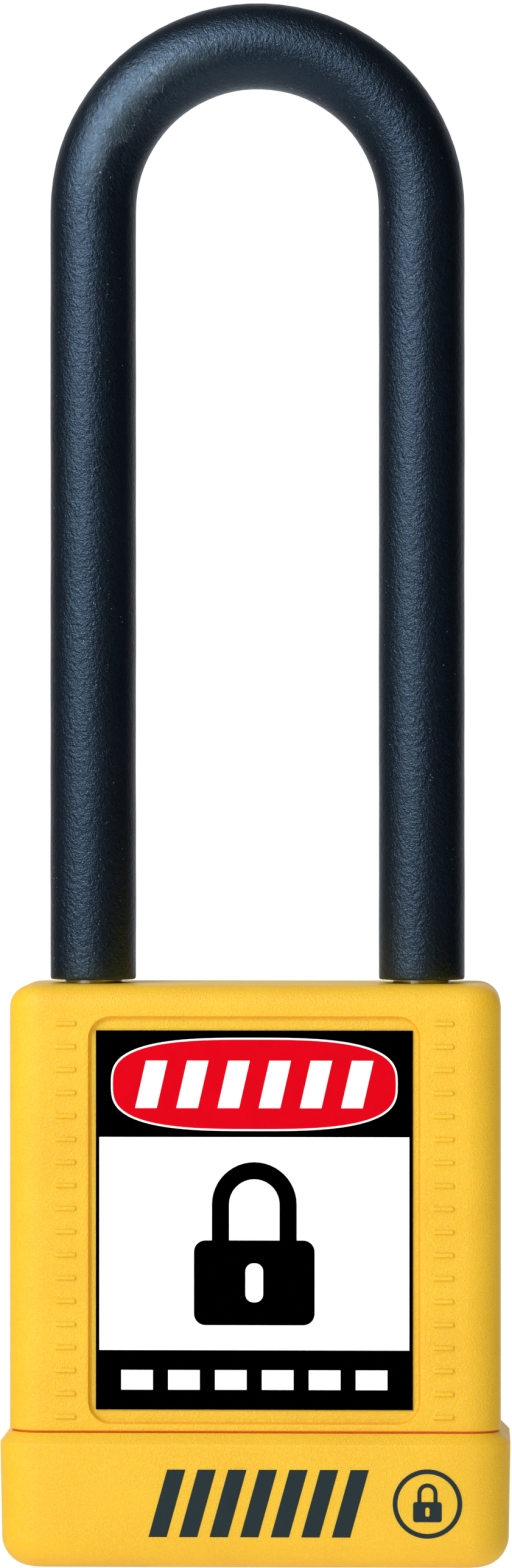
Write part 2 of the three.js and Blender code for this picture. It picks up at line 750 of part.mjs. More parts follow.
function addCylinder() {
  const cylinder = group();
  piece(cylinder, "cylinder_housing", cylinderHousing(), MATERIALS.brass);
  piece(cylinder, "chamber_strip", chamberStrip(), MATERIALS.brass);
  const screw = piece(cylinder, "cylinder_screw", cylinderScrew(), MATERIALS.steel);
  screw.position.x = -SCREW.x;

  const core = group(cylinder);
  core.rotation.z = Math.PI / 2; // a quarter turn from the pin line
  piece(core, "plug", plugSolid(), MATERIALS.brass);
  const clip = piece(core, "plug_clip", retainingClip(), MATERIALS.springSteel);
  clip.position.z = (PLUG.shankTop + PLUG.neckTop - CLIP.thick) / 2;

  const driverFoot = PLUG.radius + DRIVER.foot;
  const springLength = STRIP.near - driverFoot - DRIVER.length - 2 * TOUCH_GAP;
  KEY_PIN_LENGTHS.forEach((length, i) => {
    const keyPinMesh = piece(core, `key_pin_${i + 1}`, keyPin(length), MATERIALS.brass);
    layOutward(keyPinMesh).position.set(length - PINS.shear, 0, pinHeight(i));
    const driver = piece(cylinder, `driver_pin_${i + 1}`, driverPin(), MATERIALS.brass);
    layOutward(driver).position.set(-driverFoot, 0, pinHeight(i));
    const coil = coilSpring(PIN_SPRING, springLength, 6);
    const spring = piece(cylinder, `pin_spring_${i + 1}`, coil, MATERIALS.springSteel);
    layOutward(spring).position.set(-driverFoot - DRIVER.length - TOUCH_GAP, 0, pinHeight(i));
  });
}

addCase();
addShackle();
addLockBody();
addCylinder();

export default padlock;
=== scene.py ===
"""The looks of a long-shackle safety padlock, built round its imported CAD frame.

Every CAD node is replaced by a finer mesh of the same piece. Sizes are in millimetres here and
are turned into metres when a mesh becomes an object. The front faces -Y and +Z is up.
"""

import math
from types import SimpleNamespace as Sizes

import bmesh
import bpy
import numpy as np
from mathutils import Matrix, Vector


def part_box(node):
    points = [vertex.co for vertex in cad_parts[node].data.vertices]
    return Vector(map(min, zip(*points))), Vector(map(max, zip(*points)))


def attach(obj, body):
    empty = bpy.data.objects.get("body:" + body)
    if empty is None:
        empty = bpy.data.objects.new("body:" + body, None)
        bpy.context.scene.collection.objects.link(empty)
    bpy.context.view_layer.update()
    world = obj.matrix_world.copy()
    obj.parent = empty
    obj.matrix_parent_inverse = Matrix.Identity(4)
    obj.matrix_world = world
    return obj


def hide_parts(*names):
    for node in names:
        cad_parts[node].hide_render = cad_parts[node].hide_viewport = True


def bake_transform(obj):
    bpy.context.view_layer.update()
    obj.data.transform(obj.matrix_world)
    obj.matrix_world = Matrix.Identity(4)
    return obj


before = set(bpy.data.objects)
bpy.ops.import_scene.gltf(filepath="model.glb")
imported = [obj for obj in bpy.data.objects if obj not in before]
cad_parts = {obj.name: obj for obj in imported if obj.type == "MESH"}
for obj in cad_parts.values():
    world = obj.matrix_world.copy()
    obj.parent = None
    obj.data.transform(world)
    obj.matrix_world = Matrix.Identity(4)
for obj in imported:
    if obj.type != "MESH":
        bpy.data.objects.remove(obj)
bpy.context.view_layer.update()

MM = 0.001
SHARP = math.radians(38)  # edges that turn by more than this stay sharp


def cad_box(node):
    """The lowest and highest corner of a CAD node, in millimetres."""
    low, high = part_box(node)
    return np.array(low) / MM, np.array(high) / MM


# ------------------ sizes that come from the frame

SLEEVE_LOW, SLEEVE_HIGH = cad_box("cover_sleeve")
CAP_HIGH = cad_box("base_cap")[1]
LABEL_LOW, LABEL_HIGH = cad_box("front_label")
COAT_LOW, COAT_HIGH = cad_box("shackle_coating")
CORE_LOW = cad_box("shackle_core")[0]
BODY_LOW, BODY_HIGH = cad_box("lock_body")
PLUG_LOW = cad_box("plug")[0]
HOUSING_LOW, HOUSING_HIGH = cad_box("cylinder_housing")

# ------------------ driving dimensions

CLEAR = 0.01  # keeps the widest pieces inside the CAD box
SEAM = 0.16  # between the cover's edge and the cap's
RIB = Sizes(count=18, pitch=1.97, width=1.9, height=0.45, proud=0.2, x=16.1)
RIB_EDGE = Sizes(foot=0.03, shoulder=0.13)  # how far it reaches outside and inside the outline
PANEL = Sizes(width=28.3, height=34.75, corner=2.0, deep=0.45, slope=0.3, shade=0.25)
SLEEVE = Sizes(
    width=42.0, depth=2 * (SLEEVE_HIGH[1] - RIB.proud), corner=3.0,
    low=CAP_HIGH[2] + SEAM, top=SLEEVE_HIGH[2], edge=1.9, lip=0.16,
    seam_deep=0.24, skirt_inset=0.53, wall=1.3, roof=1.4, hole=3.0, hole_edge=0.3,
)
CAP = Sizes(
    width=2 * CAP_HIGH[0] - CLEAR, depth=2 * CAP_HIGH[1] - CLEAR, corner=3.9,
    top=CAP_HIGH[2], edge=2.6, shoulder=0.95, lean=0.21,
    wall=1.3, floor=1.8, hole=5.8, lip=0.5,
)
LABEL = Sizes(
    width=LABEL_HIGH[0] - LABEL_LOW[0],
    height=LABEL_HIGH[2] - LABEL_LOW[2],
    z=(LABEL_HIGH[2] + LABEL_LOW[2]) / 2,
    face=-LABEL_LOW[1] - 0.1,  # with room for the ink on it
)
INK = 0.02  # how much each printed layer adds

LEG_X = 14.2  # the middle of each leg, and so the radius of the bow
CORE = 2.5  # radius of the steel bar
COAT = (COAT_HIGH[1] - COAT_LOW[1]) / 2 - 2 * CLEAR  # radius of the coating
BOW_Z = 116.45  # where the bow starts
HEEL_END = CORE_LOW[2]
TOE_END = 37.0
TOE_FLOOR = 34.0  # the bottom of the toe's bore
FOOT_CHAMFER = 0.6
NECK = Sizes(radius=1.7, low=18.2, high=33.85, edge=0.15)
BALL = Sizes(radius=3.175, z=41.5, bite=1.4)
BALL_HOME = LEG_X - CORE - 0.05 - BALL.radius
NOTCH_X = LEG_X - CORE + BALL.bite - BALL.radius

BORE = Sizes(leg=2.62, screw=1.4, cylinder=6.65, cam=6.85, ball=3.295, pin=1.04)
RETAINER = Sizes(radius=1.0, x=11.45, z=32.5, half=7.75)
SPRING = Sizes(wire=0.3, radius=1.95, turns=8, low=5.6, high=13.9)
CAM = Sizes(pocket=5.2, rise=1.45, drum_low=29.15, low=37.9, high=45.1)
TONGUE = Sizes(width=2.2, half=3.6, slot=2.5, top=31.2)
BARREL = Sizes(radius=6.5, lobe=3.5, lobe_end=15.6, bore=4.81)
COUNTERBORE = Sizes(radius=5.46, top=3.45)
PIN = Sizes(first=6.0, pitch=3.1, radius=1.35, shear=4.55, chamber=1.41, bevel=0.2)
KEY_PIN_LENGTHS = (3.9, 5.1, 4.5, 5.7, 4.2, 5.4)
DRIVER = Sizes(start=4.87, length=3.4)
PIN_SPRING = Sizes(wire=0.13, radius=1.05, turns=5, end=13.05)
STRIP = Sizes(near=13.1, thick=0.8, half=1.9, low=2.6, high=23.1)
SCREW = Sizes(x=13.7, shank=1.25, head=2.0, low=23.5, under_head=34.1, top=36.0)
CLIP = Sizes(inner=3.36, outer=5.8, low=27.25, thick=0.6, mouth=0.7)
TURNING = 1 / 9  # how far apart the marks on turned metal are

# ------------------ mesh helpers


def ring_of(bm, points):
    return [bm.verts.new(p) for p in points]


def level_ring(bm, outline, z):
    """A ring of vertices from a plan outline, all at one height."""
    return ring_of(bm, [(x, y, z) for x, y in outline])


def bridge(bm, ring, other):
    """Quads between two closed rings with the same number of points."""
    for i in range(len(ring)):
        j = (i + 1) % len(ring)
        bm.faces.new((ring[i], ring[j], other[j], other[i]))


def bridge_all(bm, rings):
    for ring, other in zip(rings, rings[1:]):
        bridge(bm, ring, other)


def fill_between(bm, *rings):
    """Fills the flat area between an outer ring and any holes in it."""
    edges = []
    for ring in rings:
        for i in range(len(ring)):
            pair = (ring[i], ring[(i + 1) % len(ring)])
            edges.append(bm.edges.get(pair) or bm.edges.new(pair))
    bmesh.ops.triangle_fill(bm, use_beauty=True, use_dissolve=False, edges=edges)


def close_ends(bm, rings):
    fill_between(bm, rings[0])
    fill_between(bm, rings[-1])


def smoothstep(low, high, value):
    t = np.clip((value - low) / (high - low), 0, 1)
    return t * t * (3 - 2 * t)


def circle(radius, sides=64, x=0.0, y=0.0):
    angles = np.linspace(0, 2 * math.pi, sides, endpoint=False)
    return [(x + radius * math.cos(a), y + radius * math.sin(a)) for a in angles]


def row_of(count, pitch):
    """Places along a line, evenly spaced about its middle."""
    return [(i - (count - 1) / 2) * pitch for i in range(count)]


def lathe(profile, sides=64):
    """A solid of revolution about Z. The profile holds (radius, z) and both ends are on the axis."""
    bm = bmesh.new()
    start = bm.verts.new((0, 0, profile[0][1]))
    end = bm.verts.new((0, 0, profile[-1][1]))
    rings = [level_ring(bm, circle(r, sides), z) for r, z in profile[1:-1]]
    bridge_all(bm, rings)
    for i in range(sides):
        j = (i + 1) % sides
        bm.faces.new((rings[0][j], rings[0][i], start))
        bm.faces.new((rings[-1][i], rings[-1][j], end))
    return bm


def cylinder(radius, low, high, sides=64):
    return lathe([(0, low), (radius, low), (radius, high), (0, high)], sides)


def inset(outline, distance):
    """An outline's points moved inwards along their normals. The outline runs anticlockwise."""
    points = np.array(outline, float)
    ahead = np.roll(points, -1, axis=0) - points
    normals = np.stack([ahead[:, 1], -ahead[:, 0]], axis=1)
    normals /= np.linalg.norm(normals, axis=1)[:, None]
    both = normals + np.roll(normals, 1, axis=0)
    both /= np.linalg.norm(both, axis=1)[:, None]
    stretch = np.clip((both * normals).sum(axis=1), 0.4, 1)
    return points - both * (distance / stretch)[:, None]


def prism(outline, low, high, edge=0.0):
    """An upright block with a plan outline, chamfered by edge at both ends."""
    bm = bmesh.new()
    levels = [(0, low), (0, high)]
    if edge:
        levels = [(edge, low), (0, low + edge), (0, high - edge), (edge, high)]
    rings = [level_ring(bm, inset(outline, d), z) for d, z in levels]
    bridge_all(bm, rings)
    close_ends(bm, rings)
    return bm


def box(low, high):
    (x0, y0, z0), (x1, y1, z1) = low, high
    return prism([(x0, y0), (x1, y0), (x1, y1), (x0, y1)], z0, z1)


def moved(bm, matrix):
    bmesh.ops.transform(bm, matrix=matrix, verts=bm.verts)
    return bm


def placed(bm, x=0.0, y=0.0, z=0.0):
    return moved(bm, Matrix.Translation((x, y, z)))


def turned(bm, degrees, axis):
    return moved(bm, Matrix.Rotation(math.radians(degrees), 4, axis))


def plain_object(bm, name):
    bmesh.ops.recalc_face_normals(bm, faces=bm.faces)
    mesh = bpy.data.meshes.new(name)
    bm.to_mesh(mesh)
    bm.free()
    made = bpy.data.objects.new(name, mesh)
    bpy.context.scene.collection.objects.link(made)
    return made


def combined(base, operation, others, bevel=0.0):
    """Cuts solids from a solid or joins them to it, then bevels its sharp edges."""
    target = plain_object(base, "base")
    tools = [plain_object(other, "tool") for other in others]
    for tool in tools:
        modifier = target.modifiers.new("with_tool", "BOOLEAN")
        modifier.operation = operation
        modifier.solver = "EXACT"
        modifier.object = tool
    if bevel:
        modifier = target.modifiers.new("edges", "BEVEL")
        modifier.width = bevel
        modifier.segments = 2
        modifier.limit_method = "ANGLE"
        modifier.angle_limit = math.radians(50)
    evaluated = target.evaluated_get(bpy.context.evaluated_depsgraph_get())
    result = bmesh.new()
    result.from_mesh(evaluated.to_mesh())
    evaluated.to_mesh_clear()
    for made in (target, *tools):
        mesh = made.data
        bpy.data.objects.remove(made)
        bpy.data.meshes.remove(mesh)
    bmesh.ops.remove_doubles(result, verts=result.verts, dist=1e-5)
    return result


def cut(base, *tools, bevel=0.0):
    return combined(base, "DIFFERENCE", tools, bevel)


def join(base, *others, bevel=0.0):
    return combined(base, "UNION", others, bevel)


def piece(name, bm, material, body, slot, *nodes):
    """Makes a mesh in millimetres into a piece that rides on a body and stands for CAD nodes."""
    moved(bm, Matrix.Scale(MM, 4))
    made = plain_object(bm, name)
    made.data.polygons.foreach_set("use_smooth", [True] * len(made.data.polygons))
    made.data.set_sharp_from_angle(angle=SHARP)
    made.data.materials.append(material)
    if body:
        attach(made, body)
    if nodes:
        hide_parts(*nodes)
    return made


# ------------------ materials


def rgb(red, green, blue):
    """A colour as screens give it, 0 to 255, as linear values."""
    linear = []
    for value in (red / 255, green / 255, blue / 255):
        linear.append(value / 12.92 if value <= 0.04045 else ((value + 0.055) / 1.055) ** 2.4)
    return (*linear, 1.0)


def darker(colour, by):
    return (*(value * (1 - by) for value in colour[:3]), 1.0)


class Nodes:
    """A short way to write a node tree: each method adds one node and gives its output."""

    def __init__(self, tree):
        self.tree = tree

    def add(self, kind, inputs=(), output=0, **settings):
        node = self.tree.nodes.new(kind)
        for key, value in settings.items():
            setattr(node, key, value)
        for socket, value in dict(inputs).items():
            if isinstance(value, bpy.types.NodeSocket):
                self.tree.links.new(value, node.inputs[socket])
            else:
                node.inputs[socket].default_value = value
        return node.outputs[output]

    def where(self):
        return self.add("ShaderNodeTexCoord", output="Object")

    def stretched(self, size_mm, rotation=(0, 0, 0)):
        """Object coordinates, turned and then scaled so that one unit has the given size."""
        spun = self.add("ShaderNodeMapping", {"Vector": self.where(), "Rotation": rotation})
        scale = [1 / (s * MM) for s in size_mm]
        return self.add("ShaderNodeMapping", {"Vector": spun, "Scale": scale})

    def noise(self, size_mm, detail=2.0, roughness=0.5):
        inputs = {"Vector": self.where(), "Scale": 1 / (size_mm * MM)}
        inputs |= {"Detail": detail, "Roughness": roughness}
        return self.add("ShaderNodeTexNoise", inputs)

    def streaks(self, size_mm, detail=2.0, roughness=0.5, rotation=(0, 0, 0)):
        inputs = {"Vector": self.stretched(size_mm, rotation), "Scale": 1.0}
        inputs |= {"Detail": detail, "Roughness": roughness}
        return self.add("ShaderNodeTexNoise", inputs)

    def turned_rings(self, size_mm, detail=3.0):
        """Noise that is the same all round the Z axis, as a lathe leaves it."""
        where, fold = self.where(), "ShaderNodeVectorMath"
        flat = self.add(fold, {0: where, 1: (1, 1, 0)}, operation="MULTIPLY")
        reach = self.add(fold, {0: flat}, output="Value", operation="LENGTH")
        up = self.add("ShaderNodeSeparateXYZ", {0: where}, output="Z")
        spot = self.add("ShaderNodeCombineXYZ", {0: reach, 1: up})
        inputs = {"Vector": spot, "Scale": 1 / (size_mm * MM), "Detail": detail}
        return self.add("ShaderNodeTexNoise", inputs)

    def spread(self, value, low, high, to_low=0.0, to_high=1.0):
        inputs = {"Value": value, 1: low, 2: high, 3: to_low, 4: to_high}
        return self.add("ShaderNodeMapRange", inputs, clamp=True)

    def mix(self, factor, first, second):
        """A blend of two colours. Mix keeps its colour sockets at 6 and 7, and gives output 2."""
        return self.add("ShaderNodeMix", {0: factor, 6: first, 7: second}, 2, data_type="RGBA")

    def math(self, operation, first, second=0.0):
        return self.add("ShaderNodeMath", {0: first, 1: second}, operation=operation)

    def by_ray(self, kind, others, these):
        """One shader for a kind of ray, named as on Light Path, and another for the rest."""
        ray = self.add("ShaderNodeLightPath", output=kind)
        return self.add("ShaderNodeMixShader", {0: ray, 1: others, 2: these})

    def bump(self, height, depth_mm, strength=1.0, normal=None):
        inputs = {"Height": height, "Distance": depth_mm * MM, "Strength": strength}
        if normal is not None:
            inputs["Normal"] = normal
        return self.add("ShaderNodeBump", inputs)


def new_material(name, **values):
    """A material with its shader's sockets set, its Nodes, and a function that links sockets."""
    material = bpy.data.materials.new(name)
    material.use_nodes = True
    shader = material.node_tree.nodes["Principled BSDF"]
    for socket, value in values.items():
        shader.inputs[socket.replace("_", " ")].default_value = value

    def link(**outputs):
        for socket, value in outputs.items():
            material.node_tree.links.new(value, shader.inputs[socket.replace("_", " ")])

    return material, Nodes(material.node_tree), link


def cover_material():
    """Yellow moulded nylon: a fine spark-eroded grain and low gloss, with painted orange shade in its
    grooves and pale specks of painted glint in the grain.
    """
    material, nodes, link = new_material(
        "yellow_nylon",
        IOR=1.5,
        Specular_IOR_Level=0.5,
        Subsurface_Weight=0.25,
        Subsurface_Radius=(1.0, 0.2, 0.03),
        Subsurface_Scale=1.1 * MM,
    )
    tone = nodes.spread(nodes.noise(8, 3), 0.3, 0.7)
    speckle = nodes.noise(0.16, 2, 0.6)
    base = nodes.mix(tone, rgb(224, 175, 16), rgb(228, 182, 24))
    # painted glints: pale specks mixed into the base colour stand for glints off the grain
    base = nodes.mix(nodes.spread(speckle, 0.5, 0.75, 0, 0.25), base, rgb(240, 208, 110))
    # painted shade: the grooves, the recess's slopes and the seam are tinted deep orange as if in
    # shadow
    painted_shade = nodes.add("ShaderNodeAttribute", output="Fac", attribute_name="painted_shade")
    base = nodes.mix(painted_shade, base, rgb(255, 84, 0))
    normal = nodes.bump(speckle, 0.08)
    normal = nodes.bump(nodes.noise(0.6, 2, 0.5), 0.03, 0.12, normal)
    rough = nodes.spread(speckle, 0.3, 0.7, 0.38, 0.5)
    link(Base_Color=base, Roughness=rough, Normal=normal)
    return material


def coating_material():
    """Blue-black dipped plastic with a leathery grain, fine scuffs and a few pale specks."""
    material, nodes, link = new_material(
        "blue_black_coating",
        IOR=1.65,
        Specular_IOR_Level=1.0,
        Specular_Tint=(0.41, 0.67, 1.0, 1.0),
    )
    tone = nodes.spread(nodes.noise(6, 3), 0.3, 0.7)
    base = nodes.mix(tone, rgb(2, 4, 9), rgb(5, 8, 15))
    where_specks = nodes.spread(nodes.noise(14, 2), 0.45, 0.6)
    speck = nodes.math("MULTIPLY", nodes.spread(nodes.noise(0.22, 0.0), 0.82, 0.86), where_specks)
    base = nodes.mix(nodes.math("MULTIPLY", speck, 0.5), base, rgb(150, 158, 164))
    grain = nodes.streaks((0.3, 0.3, 0.42), 2.0, 0.6, (0.0, 0.5, 0.0))
    fine = nodes.noise(0.12, 2.0, 0.6)
    scuffs = nodes.spread(nodes.streaks((0.16, 0.16, 1.3), 2, 0.6, (0.0, 0.65, 0.3)), 0.60, 0.72)
    normal = nodes.bump(nodes.noise(0.75, 2.0, 0.6), 0.05, 0.8)
    normal = nodes.bump(grain, 0.075, 1.0, normal)
    normal = nodes.bump(fine, 0.055, 0.9, normal)
    rough = nodes.spread(fine, 0.3, 0.7, 0.32, 0.46)
    rough = nodes.math("SUBTRACT", rough, nodes.math("MULTIPLY", scuffs, 0.08))
    link(Base_Color=base, Roughness=rough, Normal=normal)
    return material


def metal_material(name, colour, roughness, marks=(0.11, 0.11, 1.1), round_z=False):
    """Bare metal with fine drawing marks, or turning marks round Z, and uneven tarnish."""
    material, nodes, link = new_material(name, Metallic=1.0)
    cloud = nodes.spread(nodes.noise(6, 2, 0.5), 0.35, 0.7, 0.0, 0.4)
    height = nodes.turned_rings(TURNING) if round_z else nodes.streaks(marks, 3, 0.7)
    rough = nodes.spread(nodes.noise(2, 2), 0.3, 0.7, roughness - 0.03, roughness + 0.04)
    normal = nodes.bump(height, 0.008, 0.5)
    base = nodes.mix(cloud, colour, darker(colour, 0.18))
    link(Base_Color=base, Roughness=rough, Normal=normal)
    return material


def print_material(name, colour, roughness=0.4, specular=0.25, mottling=0.06):
    """Ink on vinyl: nearly even, with a faint mottle and a fine texture."""
    material, nodes, link = new_material(name, IOR=1.45, Specular_IOR_Level=specular)
    mottle = nodes.spread(nodes.noise(1.6, 3), 0.3, 0.7)
    rough = nodes.spread(nodes.noise(0.4, 2), 0.3, 0.7, roughness - 0.03, roughness + 0.06)
    normal = nodes.bump(nodes.noise(0.3, 2), 0.005, 0.4)
    base = nodes.mix(mottle, colour, darker(colour, mottling))
    link(Base_Color=base, Roughness=rough, Normal=normal)
    return material


YELLOW = cover_material()
COATING = coating_material()
STEEL = metal_material("plated_steel", rgb(205, 207, 210), 0.22)
TURNED_STEEL = metal_material("turned_steel", rgb(196, 198, 201), 0.26, round_z=True)
SPRING_STEEL = metal_material("spring_steel", rgb(176, 177, 181), 0.3, (0.2, 0.2, 0.2))
ALUMINIUM = metal_material("machined_aluminium", rgb(208, 210, 213), 0.34, (0.9, 0.9, 0.1))
ZINC = metal_material("zinc_alloy", rgb(172, 175, 180), 0.42, (0.3, 0.3, 0.3))
BRASS = metal_material("brass", rgb(214, 172, 88), 0.28, (0.12, 0.5, 0.5))
TURNED_BRASS = metal_material("turned_brass", rgb(218, 178, 96), 0.24, round_z=True)
INK_BLACK = print_material("ink_black", rgb(0, 0, 0), 0.6, 0.0)
INK_WHITE = print_material("ink_white", rgb(253, 253, 253), mottling=0.01)
INK_RED = print_material("ink_red", rgb(202, 0, 20), 0.5, 0.03)
INK_SLATE = print_material("ink_slate", rgb(34, 48, 53), 0.45, 0.2)

# ------------------ cover and cap


def rounded_distance(x, z, width, height, corner):
    """How far points lie outside a rounded rectangle round the origin. Inside is negative."""
    dx = np.abs(x) - width / 2 + corner
    dz = np.abs(z) - height / 2 + corner
    outside = np.hypot(np.maximum(dx, 0), np.maximum(dz, 0))
    return outside + np.minimum(np.maximum(dx, dz), 0) - corner


def grid_lines(*stretches, nearest=0.035):
    """Places along stretches of (start, end, spacing), in order and never too close."""
    places = []
    for start, end, spacing in stretches:
        count = max(1, round(abs(end - start) / spacing))
        places.extend(np.linspace(start, end, count + 1))
    kept = []
    for place in sorted(places):
        if not kept or place - kept[-1] > nearest:
            kept.append(place)
    return np.array(kept)


def perimeter(width, depth, corner, across, side_steps=6, corner_steps=12):
    """Points round a rounded rectangle with their outward normals, anticlockwise."""
    x, y = width / 2 - corner, depth / 2 - corner
    fronts = across[np.abs(across) <= x]
    sides = np.linspace(-y, y, side_steps + 1)
    rows = []

    def arc(cx, cy, start):
        for step in range(1, corner_steps):
            a = math.radians(start + 90 * step / corner_steps)
            c, s = math.cos(a), math.sin(a)
            rows.append((cx + corner * c, cy + corner * s, c, s))

    rows += [(v, -depth / 2, 0, -1) for v in fronts]
    arc(x, -y, -90)
    rows += [(width / 2, v, 1, 0) for v in sides]
    arc(x, y, 0)
    rows += [(v, depth / 2, 0, 1) for v in fronts[::-1]]
    arc(-x, y, 90)
    rows += [(-width / 2, v, -1, 0) for v in sides[::-1]]
    arc(-x, -y, 180)
    rows = np.array(rows)
    return rows[:, :2], rows[:, 2:]


def outside_panel(x, z):
    """How far points lie outside the panel recessed in the cover. Inside is negative."""
    size = PANEL.width, PANEL.height, PANEL.corner
    return rounded_distance(x, z - LABEL.z, *size)


def sleeve_relief(x, z):
    """How far the front or back of the cover stands proud of its flat face at each point."""
    inside = np.clip(-outside_panel(x, z) / PANEL.slope, 0, 1)
    z = z - LABEL.z
    sunk = PANEL.deep * inside * (2 - inside)
    last = (RIB.count - 1) / 2
    nearest = (np.clip(np.round(z / RIB.pitch + last), 0, 2 * last) - last) * RIB.pitch
    corner = RIB.height / 2 - 0.01
    away = rounded_distance(np.abs(x) - RIB.x, z - nearest, RIB.width, RIB.height, corner)
    return RIB.proud * (1 - smoothstep(-RIB_EDGE.shoulder, RIB_EDGE.foot, away)) - sunk


def sleeve_lines():
    """Grid lines across and up the cover's faces, close together where the relief is steep."""
    flat = SLEEVE.width / 2 - SLEEVE.corner
    half, slope = PANEL.width / 2, PANEL.slope
    inner, outer = RIB.x - RIB.width / 2, RIB.x + RIB.width / 2
    soft, fine = 0.22, 0.055  # a rib's shoulder, and the spacing over a steep place
    bend, medium = PANEL.corner + 0.2, 0.13  # where the panel's corners bend, and the spacing there
    across = grid_lines(
        (0, half - bend, 2.0),
        (half - bend, half - slope, medium),
        (half - slope, half + 0.05, fine),
        (half + 0.05, inner - 0.07, 0.3),
        (inner - 0.07, inner + soft, fine),
        (inner + soft, outer - soft, 0.4),
        (outer - soft, outer + 0.07, fine),
        (outer + 0.07, flat, 0.4),
    )
    across = np.concatenate([-across[:0:-1], across])

    tall = PANEL.height / 2
    low = SLEEVE.low + SLEEVE.lip - LABEL.z
    high = SLEEVE.top - SLEEVE.edge - LABEL.z
    up = [(low, low, 1), (high, high, 1), (tall + 0.05, high, 0.45)]
    for side in (-1, 1):
        up.append((side * (tall - bend), side * (tall - slope), medium))
        up.append((side * (tall - slope), side * (tall + 0.05), fine))
    for z in row_of(RIB.count, RIB.pitch):
        up.append((z - RIB.height / 2 - 0.06, z + RIB.height / 2 + 0.06, 0.058))
        up.append((z + RIB.pitch / 2, z + RIB.pitch / 2, 1))
    upward = grid_lines(*up)
    return across, upward[(upward >= low) & (upward <= high)] + LABEL.z


def cover_mesh():
    across, upward = sleeve_lines()
    points, normals = perimeter(SLEEVE.width, SLEEVE.depth, SLEEVE.corner, across)
    on_face = np.abs(normals[:, 1]) > 0.999
    bm = bmesh.new()
    painted_shade = bm.verts.layers.float.new("painted_shade")

    def loop(inward, z, shade=0.0):
        place = points - normals * np.reshape(inward, (-1, 1))
        ring = level_ring(bm, place, z)
        for vert in ring:
            vert[painted_shade] = shade
        return ring

    edge, top, low, lip = SLEEVE.edge, SLEEVE.top, SLEEVE.low, SLEEVE.lip
    rings = [loop(edge + 0.2, top)]
    for a in np.linspace(math.pi / 2, 0, 13):
        rings.append(loop(edge * (1 - math.cos(a)), top - edge + edge * math.sin(a)))
    for z in upward[::-1][1:]:
        rings.append(loop(-np.where(on_face, sleeve_relief(points[:, 0], z), 0), z))
        # painted shade: an orange tint over the recess's slopes, as if they lay in shadow
        away = outside_panel(points[:, 0], z)
        shade = PANEL.shade * smoothstep(-PANEL.slope, -0.06, away) * (away < 0.01)
        for vert, value in zip(rings[-1], np.where(on_face, shade, 0)):
            vert[painted_shade] = value
    for a in np.linspace(0, math.pi / 2, 4)[1:]:
        rings.append(loop(lip * (1 - math.cos(a)), low + lip - lip * math.sin(a)))
    skirt, skirt_low, wall = SLEEVE.skirt_inset, SLEEVE_LOW[2], SLEEVE.wall
    seam_low = low - 0.8 * SEAM
    # painted shade: the seam groove is tinted fully orange, as if shaded
    rings.append(loop(SLEEVE.seam_deep, low, 1.0))
    rings.append(loop(SLEEVE.seam_deep, seam_low, 1.0))
    rings.append(loop(skirt, seam_low))
    rings.append(loop(skirt, skirt_low))
    rings.append(loop(wall, skirt_low))
    rings.append(loop(wall, top - SLEEVE.roof))
    bridge_all(bm, rings)

    hole, bend = SLEEVE.hole, SLEEVE.hole_edge
    profile = []
    for a in np.linspace(0, math.pi / 2, 6):
        profile.append((hole + bend * (1 - math.sin(a)), top - bend * (1 - math.cos(a))))
    profile.append((hole, top - SLEEVE.roof))
    holes = []
    for x in (-LEG_X, LEG_X):
        holes.append([level_ring(bm, circle(r, 64, x), z) for r, z in profile])
        bridge_all(bm, holes[-1])
    fill_between(bm, rings[0], *(hole[0] for hole in holes))
    fill_between(bm, rings[-1], *(hole[-1] for hole in holes))
    return bm


def cap_lean(z):
    """How far the cap's side lies in from its widest level, just under the shoulder."""
    return CAP.lean * max(0, CAP.top - CAP.shoulder - z) / CAP.top


def cap_mesh():
    points, normals = perimeter(CAP.width, CAP.depth, CAP.corner, np.arange(-20, 21, 1.6))
    bm = bmesh.new()
    painted_shade = bm.verts.layers.float.new("painted_shade")
    edge, top, shoulder = CAP.edge, CAP.top, CAP.shoulder

    def loop(inward, z, shade=0.0):
        ring = level_ring(bm, points - normals * (inward + cap_lean(z)), z)
        for vert in ring:
            vert[painted_shade] = shade
        return ring

    rings = [loop(edge + 0.4, 0)]
    for a in np.linspace(0, math.pi / 2, 13):
        rings.append(loop(edge * (1 - math.sin(a)), edge * (1 - math.cos(a))))
    for z in np.linspace(edge, top - shoulder - 0.3, 7)[1:]:
        rings.append(loop(0, z))
    bend, crest, eighth = 0.3, 0.14, math.pi / 8
    for a in np.linspace(0, math.pi / 4, 6):
        z = top - shoulder - bend * math.tan(eighth) + bend * math.sin(a)
        rings.append(loop(bend * (1 - math.cos(a)), z))
    crest_inset = shoulder - crest * math.tan(eighth) * math.cos(math.pi / 4)
    for a in np.linspace(math.pi / 4, math.pi / 2, 5):
        inward = crest_inset + crest * (math.cos(math.pi / 4) - math.cos(a))
        rings.append(loop(inward, top - crest * (1 - math.sin(a))))
    # painted shade: the cap's top face under the seam is tinted fully orange, as if shaded
    rings.append(loop(CAP.wall, top, 1.0))
    rings.append(loop(CAP.wall, top - 1.2, 1.0))
    rings.append(loop(CAP.wall, CAP.floor))
    bridge_all(bm, rings)

    hole, lip = CAP.hole, CAP.lip
    profile = [(hole + lip + 0.25, 0), (hole + lip + 0.12, 0.02), (hole + lip, 0.1)]
    profile += [(hole + 0.08, lip), (hole, lip + 0.1), (hole, CAP.floor)]
    hole_rings = [level_ring(bm, circle(r, 96), z) for r, z in profile]
    bridge_all(bm, hole_rings)
    fill_between(bm, rings[0], hole_rings[0])
    fill_between(bm, rings[-1], hole_rings[-1])
    return bm


